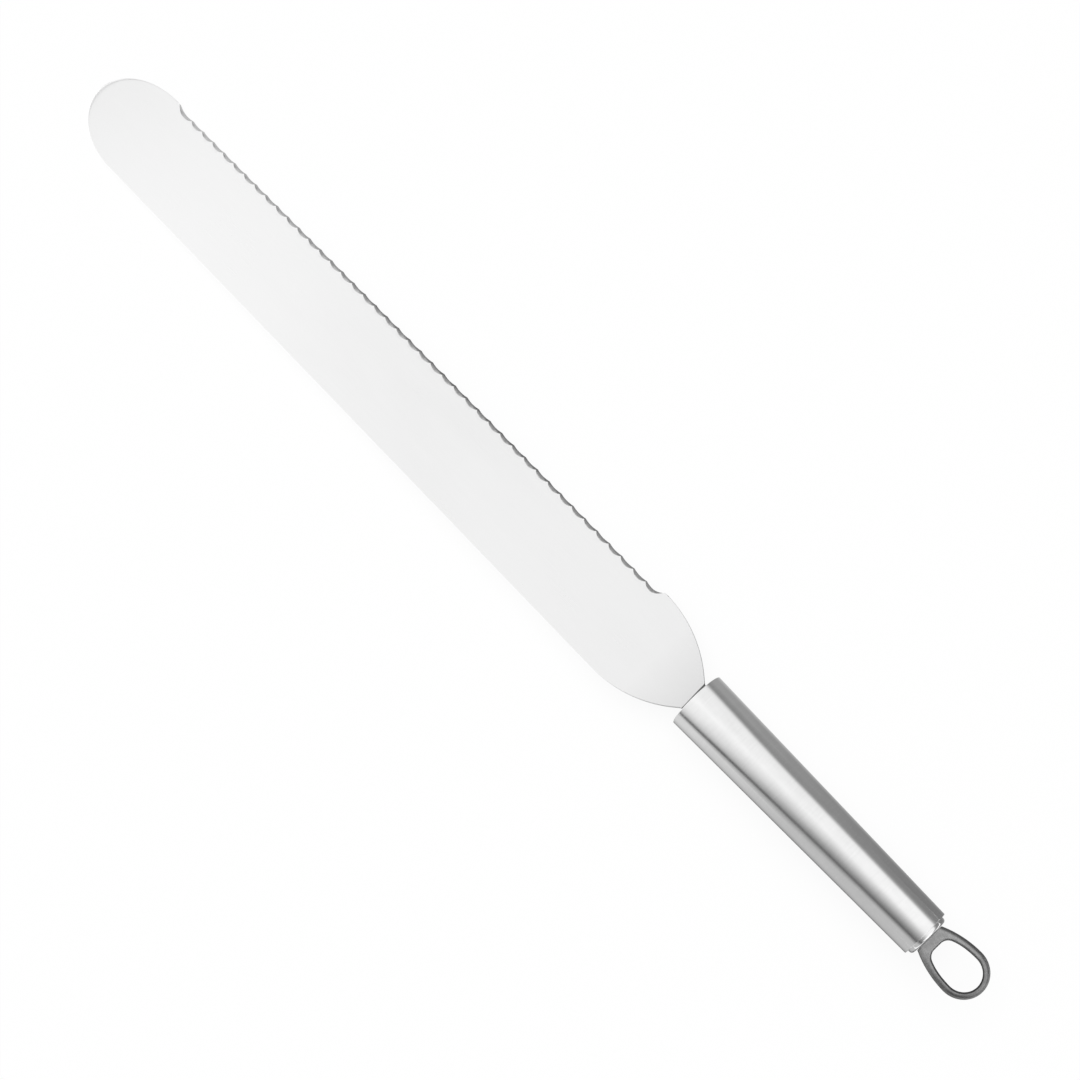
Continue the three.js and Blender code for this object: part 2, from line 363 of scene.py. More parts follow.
def ground_place(x, row, size):
    """Where a point goes when the scallops are ground, from its place along the blade and its grind row,
    which runs from 0 on the cutting edge to 1 on the upper face."""
    # the hollow that the point is in, and that hollow's ends and middle
    number = ((x - size["First Ridge"]) / size["Pitch"]).math("FLOOR") + 1
    hollow = number.clamp(0, size["Last Hollow"])
    in_first = hollow.math("LESS_THAN", 0.5)
    in_last = hollow.math("GREATER_THAN", size["Last Hollow"] - 0.5)
    start = (size["First Ridge"] + size["Pitch"] * (hollow - 1)).mix(size["Corner"], in_first)
    end = (size["First Ridge"] + size["Pitch"] * hollow).mix(size["Heel"], in_last)
    half_pitch = size["Pitch"] / 2
    middle = (start + half_pitch).mix(end - half_pitch, in_first)

    # the nearer end, and 0 in the hollow's middle to 1 there
    before = x.math("LESS_THAN", middle)
    side = end.mix(start, before)
    at_corner = (in_first * before).math("MAXIMUM", in_last - before)
    rise = ((x - middle) / (side - middle)).math("POWER", 2)

    def share_of(place):
        """-1 at the corner behind the tip, 1 at the shoulder."""
        return (place - size["Corner"]) / (size["Heel"] - size["Corner"]) * 2 - 1

    def ridge_line(place):
        share = share_of(place)
        at_mid_length = size["Half Width"] - size["Ridge Drop"]
        return at_mid_length - size["Heel Slope"] * share - size["End Drop"] * share * share

    bottom = ridge_line(middle) - size["Hollow Depth"]
    top = ridge_line(side).mix(size["Half Width"], at_corner)
    edge = bottom.mix(top, rise)
    to_end = share_of(side).absolute()
    at_ridge = size["Ridge Grind"].mix(size["Ridge End Grind"], to_end)
    in_hollow = size["Hollow Grind"].mix(size["Hollow End Grind"], to_end)
    grind = in_hollow.mix(at_ridge * at_corner.rest(), rise)
    bulging_row = row + row * row.rest() * grind_bulge
    return {"X": x, "Y": edge - grind * row, "Z": size["Thickness"] * (bulging_row - 0.5)}


def scallop_tree():
    """Moves each point that has a grind row to its place on the scallops' ground faces."""
    tree = bpy.data.node_groups.new("scalloped edge", "GeometryNodeTree")
    tree.interface.new_socket("Geometry", in_out="INPUT", socket_type="NodeSocketGeometry")
    for name in scallop_inputs:
        tree.interface.new_socket(name, in_out="INPUT", socket_type="NodeSocketFloat")
    tree.interface.new_socket("Material", in_out="INPUT", socket_type="NodeSocketMaterial")
    tree.interface.new_socket("Geometry", in_out="OUTPUT", socket_type="NodeSocketGeometry")
    given = tree.nodes.new("NodeGroupInput")
    size = {name: Field(tree, given.outputs[name]) for name in scallop_inputs}
    position = tree.nodes.new("GeometryNodeInputPosition")
    stored = tree.nodes.new("GeometryNodeInputNamedAttribute")
    stored.data_type = "FLOAT"
    stored.inputs["Name"].default_value = "grind_row"
    row = Field(tree, stored.outputs["Attribute"])
    x = fields_of(tree, position.outputs[0])[0]

    place = tree.nodes.new("ShaderNodeCombineXYZ")
    for axis, value in ground_place(x, row, size).items():
        tree.links.new(value.socket, place.inputs[axis])
    moved = tree.nodes.new("GeometryNodeSetPosition")
    tree.links.new(given.outputs["Geometry"], moved.inputs["Geometry"])
    tree.links.new(row.math("GREATER_THAN", not_ground / 2).socket, moved.inputs["Selection"])
    tree.links.new(place.outputs[0], moved.inputs["Position"])
    real = tree.nodes.new("GeometryNodeRealizeInstances")
    coated = tree.nodes.new("GeometryNodeSetMaterial")
    result = tree.nodes.new("NodeGroupOutput")
    tree.links.new(moved.outputs[0], real.inputs[0])
    tree.links.new(real.outputs[0], coated.inputs["Geometry"])
    tree.links.new(given.outputs["Material"], coated.inputs["Material"])
    tree.links.new(coated.outputs[0], result.inputs[0])
    return tree


def grind_scallops(piece, ends, material):
    sizes = {
        "Corner": ends[0],
        "Heel": ends[-1],
        "First Ridge": ends[1],
        "Pitch": ridge_pitch,
        "Last Hollow": float(len(ends) - 2),
        "Half Width": half_width,
        "Ridge Drop": ridge_drop,
        "Heel Slope": heel_slope,
        "End Drop": end_drop,
        "Hollow Depth": hollow_depth,
        "Ridge Grind": ridge_grind,
        "Ridge End Grind": ridge_grind_end,
        "Hollow Grind": hollow_grind,
        "Hollow End Grind": hollow_grind_end,
        "Thickness": thickness,
        "Material": material,
    }
    grinding = piece.modifiers.new("scallops", "NODES")
    grinding.node_group = scallop_tree()
    for item in grinding.node_group.interface.items_tree:
        if item.in_out == "INPUT" and item.name in sizes:
            grinding[item.identifier] = sizes[item.name]
    settle(piece)


# Blade

def shoulder():
    """From the full width to the neck's end, on the scalloped side."""
    neck_centre = neck_width / 2 + neck_radius
    neck = arc(-neck_gap, neck_centre, neck_radius, -math.pi / 2 - heel_angle, -math.pi / 2)
    heel_drop = heel_radius * (1 - math.cos(heel_angle))
    run = (half_width - heel_drop - neck[0].y) / math.tan(heel_angle)
    heel_x = neck[0].x - run - heel_radius * math.sin(heel_angle)
    heel = arc(heel_x, half_width - heel_radius, heel_radius, math.pi / 2, math.pi / 2 - heel_angle)
    return heel + neck


def tip_curve():
    """Half an ellipse, from the scalloped side round to the spine."""
    centre = tip_length - blade_reach
    turns = [math.pi * (0.5 + i / tip_steps) for i in range(tip_steps + 1)]
    return [Vector((centre + tip_length * math.cos(a), half_width * math.sin(a))) for a in turns]


def hollow_ends():
    """Where the hollows end along the blade: the corner behind the tip, the ridges, and the heel."""
    corner_x = tip_length - blade_reach + plain_edge
    heel_x = shoulder()[0].x - plain_heel
    ridges = int((heel_x - corner_x - first_hollow) / ridge_pitch)
    return [corner_x] + [corner_x + first_hollow + ridge_pitch * i for i in range(ridges)] + [heel_x]


def scalloped_stretch(ends):
    """The outline's points along the hollows, which still lie on a straight line, from the heel forwards."""
    places = [a + (b - a) * i / hollow_steps for a, b in zip(ends, ends[1:]) for i in range(hollow_steps)]
    places.append(ends[-1])
    return [Vector((x, half_width)) for x in reversed(places)]


def blade_outline(scalloped):
    near = shoulder()
    far = [Vector((p.x, -p.y)) for p in near]
    tip = tip_curve()
    spine = straight(tip[-1], far[0], spine_steps)
    return scalloped + tip + spine[1:-1] + far + near[::-1][:-1]


def rounding_width(normal):
    """How wide the polished rounding is where the outline faces this way."""
    towards_tip = max(0, -normal.x) ** tip_round_focus
    towards_handle = max(0, normal.x)
    return spine_round + (tip_round - spine_round) * towards_tip + shoulder_round * towards_handle


def edge_profile():
    """Rows across the edge, from the lower face to the upper. Two shares of the rounding say how far in from
    the outline and from the nearer face a row lies. That face is -1 for the lower and 1 for the upper."""
    lower = [(1 - math.sin(a), 1 - math.cos(a), -1) for a in quarter_angles()]
    upper = [(inset, depth, 1) for inset, depth, _ in reversed(lower)]
    return lower + upper


def blade_blank(scalloped):
    """The blade before it is ground. Its edge is rounded all round, but along the scallops the rounding's
    rows will become the ground faces."""
    outline = blade_outline(scalloped)
    rows = edge_profile()
    rings = [[] for _ in range(len(rows) + 2)]
    for i, point in enumerate(outline):
        normal = outward(outline, i)
        width = rounding_width(normal)
        drop = min(width, edge_drop)
        if i < len(scalloped):
            margin = point - Vector((0, scallop_margin))
        else:
            margin = point - normal * (width + flat_margin)
        rings[0].append((*margin, -thickness / 2))
        rings[-1].append((*margin, thickness / 2))
        for ring, (inset, depth, face) in zip(rings[1:-1], rows):
            at = point - normal * (width * inset)
            ring.append((*at, face * (thickness / 2 - drop * depth)))
    return skinned("blade_steel_sheet", rings)


def mark_grind_rows(piece, scalloped_count):
    """Gives each point its grind row. The first and last ring lie on the flats and aren't ground."""
    row_count = len(edge_profile())
    ring_size = len(piece.data.vertices) // (row_count + 2)
    flat_ring = [not_ground] * ring_size
    marks = list(flat_ring)
    for row in range(row_count):
        marks += [row / (row_count - 1)] * scalloped_count
        marks += [not_ground] * (ring_size - scalloped_count)
    marks += flat_ring
    attribute = piece.data.attributes.new("grind_row", "FLOAT", "POINT")
    attribute.data.foreach_set("value", marks)


def build_blade(material):
    ends = hollow_ends()
    scalloped = scalloped_stretch(ends)
    piece = blade_blank(scalloped)
    mark_grind_rows(piece, len(scalloped))
    grind_scallops(piece, ends, material)
    combine(piece, bar(-neck_gap - tang_lead, tang_length, tang_width, tang_thickness), "UNION")
    for x in tang_pin_places:
        combine(piece, upright_rod(x, tang_pin_radius + fit_gap), "DIFFERENCE")
    lay_down(piece, "blade", material)


# Handle tube and plugs

def outer_radius(x):
    return front_radius + (tail_radius - front_radius) * x / handle_length


def bore_radius(x):
    return outer_radius(x) - tube_wall


def corner(x, radius, size, facing):
    """A rounded corner of a turned profile, from its end face to its side; facing is -1 at a front end."""
    return [
        (x - facing * size * (1 - math.cos(a)), radius - size * (1 - math.sin(a))) for a in quarter_angles()
    ]


def build_tube(material):
    tail = handle_length
    profile = [(0, bore_radius(0))]
    profile += corner(0, outer_radius(0), tube_round, -1)
    profile += corner(tail, outer_radius(tail), tube_round, 1)[::-1]
    profile += [(tail, bore_radius(tail))]
    lay_down(revolved("handle_steel_tube", profile, "joined"), "handle_tube", material)


def build_front_plug(material):
    back = front_plug_back
    profile = [(0, front_plug_ring)]
    profile += corner(0, bore_radius(0) - fit_gap, front_plug_round, -1)
    profile += [(back, bore_radius(back) - fit_gap)]
    piece = revolved("front_steel_plug", profile)
    slot_sizes = (tang_width + 2 * fit_gap, tang_thickness + 2 * fit_gap)
    combine(piece, bar(-cut_overrun, back + cut_overrun, *slot_sizes), "DIFFERENCE")
    lay_down(piece, "front_plug", material)


def loop_pin_hole():
    return upright_rod(tongue_front + loop_pin_behind, loop_pin_radius + fit_gap)


def build_tail_plug(material):
    front = tail_plug_front
    side = bore_radius(handle_length) - fit_gap
    profile = [(front, bore_radius(front) - fit_gap), (handle_length, side)]
    profile += corner(tail_plug_face, side, tail_plug_round, 1)[::-1]
    piece = revolved("tail_steel_plug", profile)
    slot_sizes = (tongue_width + 2 * fit_gap, tongue_thickness + 2 * fit_gap)
    combine(piece, bar(front - cut_overrun, tail_plug_face + cut_overrun, *slot_sizes), "DIFFERENCE")
    combine(piece, loop_pin_hole(), "DIFFERENCE")
    lay_down(piece, "tail_plug", material)


# Hanging loop

def loop_outline(neck):
    """A round end, sides that draw in to the neck, and a front that runs on too far, to be cut square."""
    radius = loop_high.y
    end_x = loop_high.x - radius
    swell = end_x - neck
    drop = radius - loop_neck_width / 2
    side_radius = (swell ** 2 + drop ** 2) / (2 * drop)
    side_angle = math.asin(swell / side_radius)
    side = arc(end_x, radius - side_radius, side_radius, math.pi / 2, math.pi / 2 + side_angle)
    end = arc(end_x, 0, radius, -math.pi / 2, math.pi / 2, 2 * arc_steps)
    front_corner = side[-2].lerp(side[-1], loop_front_run)
    half = side[1:-1] + [front_corner]
    return end + half + mirrored(half)


def eye_outline(front):
    """A round end, sides that draw in, and a narrow front end with rounded corners."""
    radius = eye_width / 2
    end_x = loop_high.x - loop_end_wall - radius
    end = arc(end_x, 0, radius, -math.pi / 2, math.pi / 2, 2 * arc_steps)
    corner_y = eye_front_width / 2 - eye_corner
    bend = arc(front + eye_corner, corner_y, eye_corner, math.pi / 2 + eye_slope, math.pi, corner_steps)
    start = Vector((end_x, radius))
    pull = Vector((bend[0].x + (radius - bend[0].y) / math.tan(eye_slope), radius))
    shares = [i / arc_steps for i in range(arc_steps + 1)]
    side = [start.lerp(pull, s).lerp(pull.lerp(bend[0], s), s) for s in shares]
    half = side[1:] + bend[1:]
    return end + half + mirrored(half)


def rounded_plate(name, outline, rounding, height, overrun=0):
    """A flat plate whose edge is rounded from face to face, or flares towards the faces if the rounding is
    negative. It runs on past both faces by the overrun."""
    leans = [math.pi * (i / (2 * round_steps) - 0.5) for i in range(2 * round_steps + 1)]
    levels = [(height / 2 * math.sin(lean), rounding * (1 - math.cos(lean))) for lean in leans]
    if overrun:
        past = height / 2 + overrun
        levels = [(-past, rounding)] + levels + [(past, rounding)]
    sides = [(point, outward(outline, i)) for i, point in enumerate(outline)]
    rings = [[(*(point - normal * inset), z) for point, normal in sides] for z, inset in levels]
    return skinned(name, rings)


def build_loop(material):
    neck = tail_plug_face + fit_gap
    eye_front = neck + loop_neck_wall
    tongue_back = neck + loop_neck_wall / 2
    piece = rounded_plate("cast_hanging_loop", loop_outline(neck), loop_outer_round, loop_thickness)
    eye = rounded_plate("eye", eye_outline(eye_front), -loop_inner_round, loop_thickness, cut_overrun)
    combine(piece, eye, "DIFFERENCE")
    combine(piece, bar(tongue_front, neck, 2 * front_radius, 2 * front_radius), "DIFFERENCE")
    combine(piece, bar(tongue_front, tongue_back, tongue_width, tongue_thickness), "UNION")
    combine(piece, loop_pin_hole(), "DIFFERENCE")
    lay_down(piece, "hanging_loop", material)


# Materials

# Painted shade on the blade where it enters the handle, for the handle's shade
neck_shade_depth = 0.85             # how much darker the painted shade line is where the blade enters the handle
shade_line_start = 1.6 * mm            # how far before the handle that dark line starts, on the axis
shade_line_slant = 0.04          # and how much farther with each step towards the scalloped side
shade_line_blur = 0.15 * mm
soft_neck_shade = 0.13             # how much darker the softer painted shade is beside that line
soft_neck_shade_reach = 18 * mm

# The loop's painted shade, on its rounded sides and towards its end
side_shade_tone = 0.75                # painted shade on the rounded sides, as a share of the tone of the loop's flats
side_shade_fades = (0.99, 0.85)     # where the flats give way to it, as shares of half the loop's thickness
loop_end_shade = 0.33         # how much darker the painted shade is at the loop's end than at the tail plug
loop_spine_side_shade = 0.1         # how much darker the painted shade is on the spine's side than on the axis
most_loop_shade = 0.5

rough_change = 0.3              # how much strokes and clouds each change a metal's roughness
stroke_detail = 3


def new_material(name):
    material = bpy.data.materials.new(name)
    material.use_nodes = True
    return material, material.node_tree, material.node_tree.nodes["Principled BSDF"]


def knife_place(tree):
    """Object coordinates turned back into the knife's own frame."""
    coordinates = tree.nodes.new("ShaderNodeTexCoord")
    mapping = tree.nodes.new("ShaderNodeMapping")
    mapping.vector_type = "TEXTURE"
    mapping.inputs["Location"].default_value = to_world.translation
    mapping.inputs["Rotation"].default_value = to_world.to_euler()
    tree.links.new(coordinates.outputs["Object"], mapping.inputs["Vector"])
    return mapping.outputs["Vector"]


def noise(tree, place, grain, detail=2):
    """Noise whose features have the given sizes along the knife's three axes."""
    stretch = tree.nodes.new("ShaderNodeVectorMath")
    stretch.operation = "DIVIDE"
    stretch.inputs[1].default_value = grain
    tree.links.new(place, stretch.inputs[0])
    texture = tree.nodes.new("ShaderNodeTexNoise")
    texture.inputs["Scale"].default_value = 1
    texture.inputs["Detail"].default_value = detail
    tree.links.new(stretch.outputs[0], texture.inputs["Vector"])
    return Field(tree, texture.outputs["Fac"])


def paint_grey(shader, tone):
    colour = tone.tree.nodes.new("ShaderNodeCombineColor")
    for channel in ("Red", "Green", "Blue"):
        tone.tree.links.new(tone.socket, colour.inputs[channel])
    tone.tree.links.new(colour.outputs[0], shader.inputs["Base Color"])


def emboss(shader, relief, depth):
    bump = relief.tree.nodes.new("ShaderNodeBump")
    bump.inputs["Distance"].default_value = depth
    relief.tree.links.new(relief.socket, bump.inputs["Height"])
    relief.tree.links.new(bump.outputs[0], shader.inputs["Normal"])


def painted_neck_shade(x, y, _):
    """Painted shade on the blade where it enters the handle, for the handle's shade: a dark line, widest on
    the scalloped side, and softer painted shade in front of it."""
    line_start = y * -shade_line_slant - shade_line_start
    line = (x - line_start).way(0, shade_line_blur) * neck_shade_depth
    soft = x.way(-soft_neck_shade_reach, 0) * soft_neck_shade
    return line.rest() * soft.rest()


def painted_loop_shade(x, y, z):
    """Painted shade on the loop: its rounded sides are darker than its flats, for their dark reflections,
    and it is darker still towards the loop's end and the spine's side."""
    on_sides = (z.absolute() * 2 / loop_thickness).way(*side_shade_fades)
    along = (x - tail_plug_face) / (loop_high.x - tail_plug_face)
    end_and_side_shade = (along * loop_end_shade - y / loop_high.y * loop_spine_side_shade).clamp(0, most_loop_shade)
    return (on_sides * (1 - side_shade_tone)).rest() * end_and_side_shade.rest()


def steel(name, tint, roughness, grain, cloud, depth, contrast, darkened=None):
    """Brushed metal. The grain's three sizes say how long and how wide its strokes are, the cloud's how large
    the soft changes of polish are, depth is how deep the strokes are and contrast how much they change the
    tone. The last function gives the share of the tone that is left at a place under painted shade."""
    material, tree, shader = new_material(name)
    place = knife_place(tree)
    strokes = noise(tree, place, grain, stroke_detail)
    clouds = noise(tree, place, cloud)
    shade = (strokes - 0.5) * contrast + (clouds - 0.5) * contrast + 1
    if darkened:
        shade = shade * darkened(*fields_of(tree, place))
    rough = (strokes + clouds) * (roughness * rough_change) + roughness * (1 - rough_change)
    shader.inputs["Metallic"].default_value = 1
    paint_grey(shader, shade * tint)
    tree.links.new(rough.socket, shader.inputs["Roughness"])
    emboss(shader, strokes, depth)
    return material


# The blade's steel, darkened by painted shade where it enters the handle.
def blade_steel():
    return steel(
        "satin blade steel", tint=0.87, roughness=0.3, grain=(18 * mm, 0.12 * mm, 0.12 * mm),
        cloud=(40 * mm, 12 * mm, 12 * mm), depth=0.002 * mm, contrast=0.05, darkened=painted_neck_shade)


def tube_steel():
    return steel(
        "brushed tube steel", tint=0.87, roughness=0.12, grain=(0.2 * mm, 5 * mm, 5 * mm),
        cloud=(8 * mm, 3 * mm, 3 * mm), depth=0.002 * mm, contrast=0.12)


# The loop's metal, darkened by painted shade on its rounded sides, towards its end and on the spine's side.
def cast_metal():
    return steel(
        "cast loop metal", tint=0.38, roughness=0.36, grain=(0.35 * mm, 0.35 * mm, 0.35 * mm),
        cloud=(1.2 * mm, 1.2 * mm, 1.2 * mm), depth=0.03 * mm, contrast=0.6, darkened=painted_loop_shade)


def pin_steel():
    return steel(
        "drawn pin steel", tint=0.7, roughness=0.3, grain=(0.1 * mm, 0.1 * mm, 4 * mm),
        cloud=(4 * mm, 4 * mm, 4 * mm), depth=0.002 * mm, contrast=0.05)


def core_plastic():
    darkest_tone = 0.025
    tone_change = 0.01
    least_roughness = 0.55
    roughness_change = 0.2
    grit_size = 0.4 * mm
    grit_depth = 0.02 * mm
    material, tree, shader = new_material("moulded core plastic")
    grit = noise(tree, knife_place(tree), (grit_size, grit_size, grit_size))
    paint_grey(shader, grit * tone_change + darkest_tone)
    tree.links.new((grit * roughness_change + least_roughness).socket, shader.inputs["Roughness"])
    emboss(shader, grit, grit_depth)
    return material


def dress(nodes, material):
    for node in nodes:
        piece = frame["nodes"][node]
        piece.data.materials.clear()
        piece.data.materials.append(material)


def build_knife():
    tube = tube_steel()
    build_blade(blade_steel())
    build_tube(tube)
    build_front_plug(tube)
    build_tail_plug(tube)
    build_loop(cast_metal())
    dress(("core_upper", "core_lower"), core_plastic())
    dress(("tang_pin_front", "tang_pin_rear", "loop_pin"), pin_steel())


# Table, world and lamp

table_radius = 6
table_sides = 96
shadow_share = 0.1              # of the table's white, which a shadow can darken
world_light = 0.5               # world and lamp together show a colour as it is written
lamp_light = 0.5
lamp_spread = math.radians(60)
lamp_tilt = math.radians(-12)


def is_seen(tree):
    """1 for a ray from the camera, or one that a shiny or clear surface sends on."""
    path = tree.nodes.new("ShaderNodeLightPath")
    camera, shiny, clear = [
        Field(tree, path.outputs[name]) for name in ("Is Camera Ray", "Is Glossy Ray", "Is Transmission Ray")
    ]
    return camera.math("MAXIMUM", shiny).math("MAXIMUM", clear)


def build_table():
    """A white table that still takes a soft shadow."""
    rim = [(table_radius * math.cos(a), table_radius * math.sin(a), 0) for a in round_angles(table_sides)]
    table = mesh_object("table", rim, [tuple(range(table_sides))])
    material, tree, shader = new_material("white table")
    shader.inputs["Base Color"].default_value = (shadow_share, shadow_share, shadow_share, 1)
    shader.inputs["Specular IOR Level"].default_value = 0
    shader.inputs["Roughness"].default_value = 1
    shader.inputs["Emission Color"].default_value = (1, 1, 1, 1)
    tree.links.new((is_seen(tree) * (1 - shadow_share)).socket, shader.inputs["Emission Strength"])
    table.data.materials.append(material)


def build_world():
    world = bpy.data.worlds.new("white studio")
    world.use_nodes = True
    tree = world.node_tree
    background = tree.nodes["Background"]
    background.inputs["Color"].default_value = (1, 1, 1, 1)
    strength = is_seen(tree) * (1 - world_light) + world_light
    tree.links.new(strength.socket, background.inputs["Strength"])
    bpy.context.scene.world = world


def build_lamp():
    """One large soft lamp high over the table."""
    lamp = bpy.data.lights.new("soft lamp", "SUN")
    lamp.energy = lamp_light * math.pi
    lamp.angle = lamp_spread
    holder = bpy.data.objects.new("soft lamp", lamp)
    holder.rotation_euler = (lamp_tilt, lamp_tilt, 0)
    holder.visible_glossy = False
    bpy.context.scene.collection.objects.link(holder)


# Light tent and card, which only shiny surfaces see

white_light = 1.2               # bright enough for the metal to mirror it as white


def glowing(name):
    material = bpy.data.materials.new(name)
    material.use_nodes = True
    tree = material.node_tree
    tree.nodes.remove(tree.nodes["Principled BSDF"])
    glow = tree.nodes.new("ShaderNodeEmission")
    tree.links.new(glow.outputs[0], tree.nodes["Material Output"].inputs["Surface"])
    coordinates = tree.nodes.new("ShaderNodeTexCoord")
    material.cycles.emission_sampling = "NONE"
    return material, glow.inputs["Strength"], fields_of(tree, coordinates.outputs["Object"])


def ramp(place, stops):
    """Brightness that changes evenly between stops, which are pairs of place and brightness."""
    span = stops[-1][0]
    node = place.tree.nodes.new("ShaderNodeValToRGB")
    elements = node.color_ramp.elements
    while len(elements) < len(stops):
        elements.new(1)
    for element, (at, value) in zip(elements, stops):
        element.position = at / span
        element.color = (value, value, value, 1)
    place.tree.links.new((place / span).socket, node.inputs["Fac"])
    return Field(place.tree, node.outputs["Color"])


def light_up(piece, material, strength, light):
    """Lets a stage piece glow with this light, which only reflections show."""
    light.tree.links.new(light.socket, strength)
    piece.data.materials.append(material)
    piece.visible_camera = False
    piece.visible_diffuse = False
    piece.visible_transmission = False
    piece.visible_volume_scatter = False
    piece.visible_shadow = False


# Light tent. Its places along the knife are shares of its radius, from its middle. Its leans are degrees from
# the ridge overhead, above 0 on the scalloped side.

tent_radius = 800 * mm
tent_sides = 96
tent_rings = 24
tent_foot = -0.08               # it goes on this far below its middle, in radians, down into the table

front_to_middle = (-0.09, 0.03)         # where the light over the handle changes
middle_to_tail = (0.03, 0.18)
handle_to_blade = (-0.115, -0.14)       # and where the light over the blade takes its place

gap_lean = 65.3                 # where the dark gap on the spine's side lies, over the tent's middle
gap_slope = -120                # and how it draws near to the ridge towards the tail
gap_bend = 150
gap_leans = (48, 80)
softbox_lean = 57               # where the softbox over the handle ends on the scalloped side
softbox_growth = 10             # and how much farther out it ends before the handle's front end
softbox_grows = (-0.02, -0.1)

blade_light_reach = 0.9         # of the light over the blade, from the tent's rim on the tip's side
blade_light_slope = -0.008      # its change with each degree
blade_light_range = (0.97, 1.03)
spine_white_leans = (-20, -40)  # where it gives way to white on the spine's side
wall_leans = (52.5, 77.5)       # and to the wall on the scalloped side
wall_nearing = 12.5             # the wall begins nearer by this over the scallops at mid length
mid_scallops = -0.5             # where those scallops mirror the wall
mid_scallops_reach = (0.27, 0.12)

low_light = 1.4                 # brightness low down behind the loop
low_light_starts = (0.6875, 0.8125)
low_light_leans = (50, 40)      # to both sides

# The tent's brightness down its sides, over the handle's front, middle and tail. Places are shares of the way
# from the ridge to the dark gap on the spine's side, and to the softbox's edge on the scalloped side.
spine_front_light = (
    (0, 1.09), (0.3, 1), (0.45, 0.95), (0.57, 0.89), (0.7, 0.78), (0.83, 0.62), (0.9, 0.42), (0.97, 0.05),
    (1.03, 0.05), (1.1, 0.5), (1.2, 0.68),
)
spine_middle_light = (
    (0, 0.98), (0.2, 0.87), (0.5, 0.64), (0.65, 0.475), (0.88, 0.28), (0.97, 0.12), (1.02, 0.12),
    (1.12, 0.34), (1.4, 0.55),
)
spine_tail_light = (
    (0, 0.93), (0.14, 0.77), (0.33, 0.57), (0.6, 0.35), (0.88, 0.18), (1, 0.12), (1.12, 0.28), (1.35, 0.56),
)
edge_front_light = (
    (0, 1.08), (0.2, 1), (0.35, 0.96), (0.8, 0.96), (0.92, 0.9), (1, 0.54), (1.09, 0.28), (1.17, 0.26),
    (1.4, 0.34),
)
edge_middle_light = (
    (0, 0.99), (0.1, 1.015), (0.3, 0.98), (0.75, 0.94), (0.88, 0.86), (1, 0.52), (1.1, 0.31), (1.25, 0.29),
)
edge_tail_light = (
    (0, 0.93), (0.12, 1.03), (0.3, 1.07), (0.75, 1.06), (0.88, 0.96), (1, 0.52), (1.1, 0.33), (1.25, 0.24),
)

# And along its ridge over the blade, as shares of blade_light_reach from the tip's side
ridge_light = (
    (0, 1.3), (0.08, 1.3), (0.1, 0.55), (0.17, 0.55), (0.2, 1.05), (0.264, 1.08), (0.37, 1.12), (0.5, 0.99),
    (0.59, 0.93), (0.69, 1.04), (0.82, 1.06), (0.92, 0.88), (1, 1.08),
)

# And on its wall beside the scallops, in shares of the tent's radius from its rim on the tip's side
scallop_wall_light = (
    (0.1, 0.6), (0.27, 0.55), (0.38, 0.6), (0.46, 0.55), (0.53, 0.24), (0.58, 0.2), (0.66, 0.28),
    (0.75, 0.33),
)


def light_over_handle(along, lean):
    """The tent's light on the spine's side and on the scalloped side: bright overhead, with a dark gap on the
    spine's side that draws near to the ridge towards the tail."""
    to_middle = along.way(*front_to_middle)
    to_tail = along.way(*middle_to_tail)

    def blended(place, front, middle, tail):
        before_tail = ramp(place, front).mix(ramp(place, middle), to_middle)
        return before_tail.mix(ramp(place, tail), to_tail)

    gap = (along * along * gap_bend + along * gap_slope + gap_lean).clamp(*gap_leans)
    softbox_end = along.way(*softbox_grows) * softbox_growth + softbox_lean
    spine_side = blended(-lean / gap, spine_front_light, spine_middle_light, spine_tail_light)
    edge_side = blended(lean / softbox_end, edge_front_light, edge_middle_light, edge_tail_light)
    return spine_side, edge_side


def light_over_blade(along, lean):
    """The tent's light on both sides: white far out on the spine's side, and a dark wall on the other."""
    from_rim = along + 1
    fall = (lean * blade_light_slope + 1).clamp(*blade_light_range)
    overhead = ramp(from_rim / blade_light_reach, ridge_light) * fall
    nearing = (along - mid_scallops).absolute().way(*mid_scallops_reach) * wall_nearing
    spine_side = overhead.mix(white_light, lean.way(*spine_white_leans))
    edge_side = overhead.mix(ramp(from_rim, scallop_wall_light), (lean + nearing).way(*wall_leans))
    return spine_side, edge_side


def build_tent():
    """A light tent over the knife, open only below."""
    rings = []
    for i in range(tent_rings):
        rise = tent_foot + (math.pi / 2 - tent_foot) * i / (tent_rings - 1)
        radius = tent_radius * math.cos(rise)
        height = tent_radius * math.sin(rise)
        rings.append([(radius * math.cos(a), radius * math.sin(a), height) for a in round_angles(tent_sides)])
    tent = skinned("light_tent", rings, "open")
    tent.matrix_world = to_world
    material, strength, (x, y, z) = glowing("light tent")
    along = x / tent_radius
    lean = y.math("ARCTAN2", z) * math.degrees(1)
    over_blade = along.way(*handle_to_blade)
    sides = zip(light_over_handle(along, lean), light_over_blade(along, lean))
    spine_side, edge_side = [handle.mix(blade, over_blade) for handle, blade in sides]
    light = spine_side.mix(edge_side, y.math("GREATER_THAN", 0))
    low_share = along.way(*low_light_starts) * lean.absolute().way(*low_light_leans)
    light_up(tent, material, strength, light.mix(low_light, low_share))


# Card on the table. Its places along the knife are in handle lengths, from the handle's front end.

card_half_side = 960 * mm
card_lift = 0.01 * mm
card_reach = 40 * mm            # how far out from the knife's axis its brightness goes on changing

spine_card_tone = 0.73          # of the card on the spine's side, at the handle's front end
spine_card_loss = 0.17          # and how much darker it grows over the first half of the handle
spine_card_fades = (0, 0.5)
edge_card_tone = 0.36           # of the card on the scalloped side
edge_card_loss = 0.15           # and how much darker it grows over the whole handle
edge_card_fades = (0, 1)
sides_meet = (-2 * mm, 2 * mm)  # where one side's brightness gives way to the other's, across the axis

